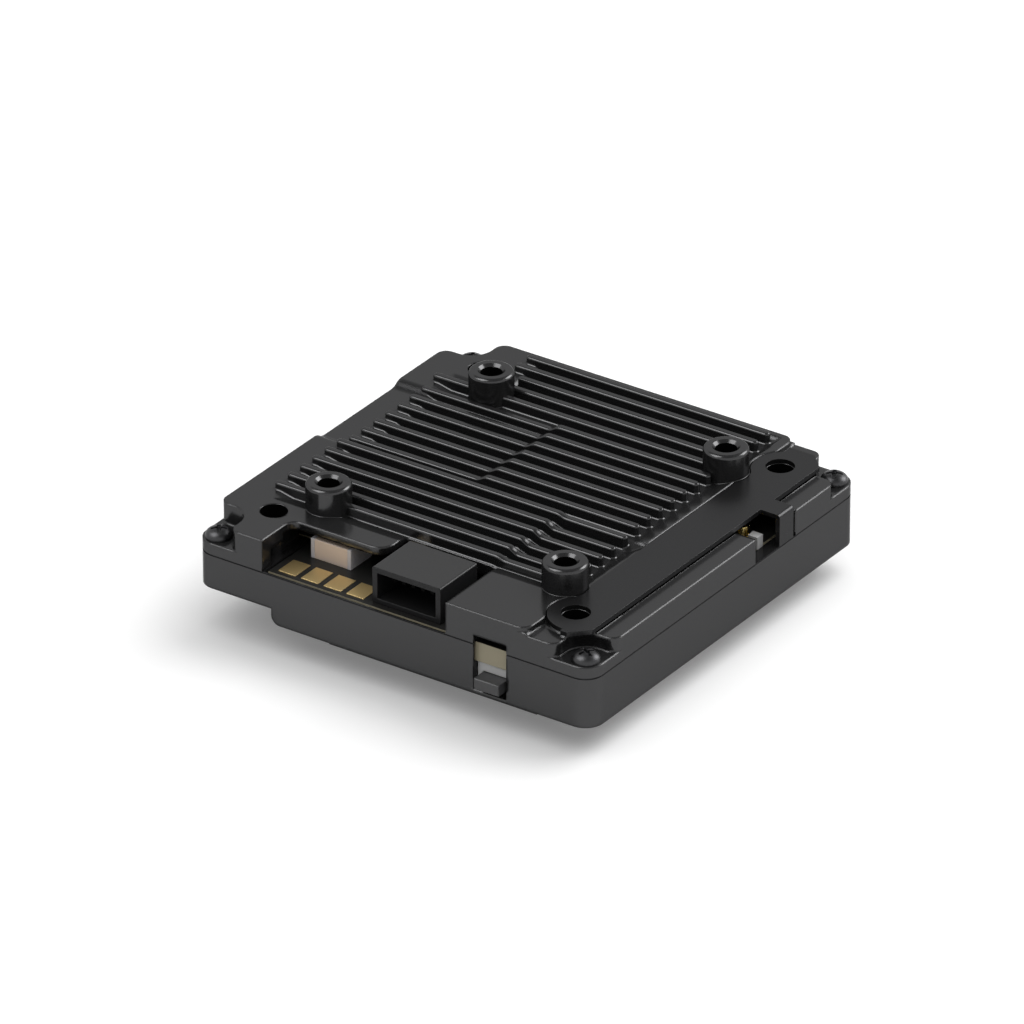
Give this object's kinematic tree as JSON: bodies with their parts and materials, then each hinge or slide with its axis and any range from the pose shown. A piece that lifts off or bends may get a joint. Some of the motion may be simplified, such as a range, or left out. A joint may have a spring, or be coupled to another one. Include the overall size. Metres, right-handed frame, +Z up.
{
  "type": "video transmitter module",
  "caption": "Square finned metal module with boss and corner holes, a port connector, solder pads, a side plate and a small link button.",
  "frame": {"origin": "centre of the casing's outline, on the flat underside of the foot", "axes": "+X along the connector side towards the plate, +Y away from the connector side, +Z up"},
  "size_m": [0.0336, 0.0342, 0.0106],
  "materials": {
    "cast_dark": "die-cast, fine dark grey anodised coat",
    "plate_steel": "stamped sheet, dark grey coat",
    "screw_steel": "dark plated steel",
    "board_fibre": "glass fibre board, dark solder mask, cream edge",
    "black_plastic": "moulded plastic",
    "white_plastic": "moulded plastic",
    "tin_metal": "tin plated",
    "gold_plate": "gold plated",
    "ceramic_pink": "sintered ceramic",
    "led_lens": "clear resin over white",
    "shield_metal": "nickel silver sheet",
    "foam_grey": "closed cell foam",
    "chip_black": "moulded epoxy",
    "ferrite_grey": "pressed ferrite",
    "pad_blue": "soft silicone gap pad"
  },
  "bodies": {
    "module": {"upper_shell": "cast_dark", "lower_shell": "cast_dark", "retaining_plate": "plate_steel", "shell_screws": "screw_steel", "main_board": "board_fibre", "radio_board": "board_fibre", "board_link_receptacle": "black_plastic", "board_link_plug": "black_plastic", "port_connector_housing": "black_plastic", "port_connector_contacts": "tin_metal", "port_connector_tabs": "tin_metal", "solder_pads": "gold_plate", "input_capacitor_body": "ceramic_pink", "input_capacitor_terminals": "tin_metal", "status_led": "led_lens", "link_button_body": "white_plastic", "link_button_dome": "tin_metal", "usb_receptacle_shell": "shield_metal", "usb_tongue": "black_plastic", "card_slot_shell": "shield_metal", "card_slot_contacts": "gold_plate", "antenna_receptacles": "gold_plate", "camera_receptacle": "white_plastic", "clamp_pad": "foam_grey", "processor": "chip_black", "memory_chips": "chip_black", "rf_transceiver": "chip_black", "power_amplifiers": "chip_black", "shield_can": "shield_metal", "power_inductors": "ferrite_grey", "thermal_pad_upper": "pad_blue", "thermal_pad_lower": "pad_blue", "crystal": "shield_metal", "small_capacitors": "ceramic_pink"},
    "button": {"link_button": "black_plastic"}
  },
  "joints": [
    {"name": "link_press", "type": "slide", "parent": "module", "child": "button", "axis": [0, 1, 0], "range_m": [0, 0.00025], "stiffness_N_per_m": 200}
  ]
}
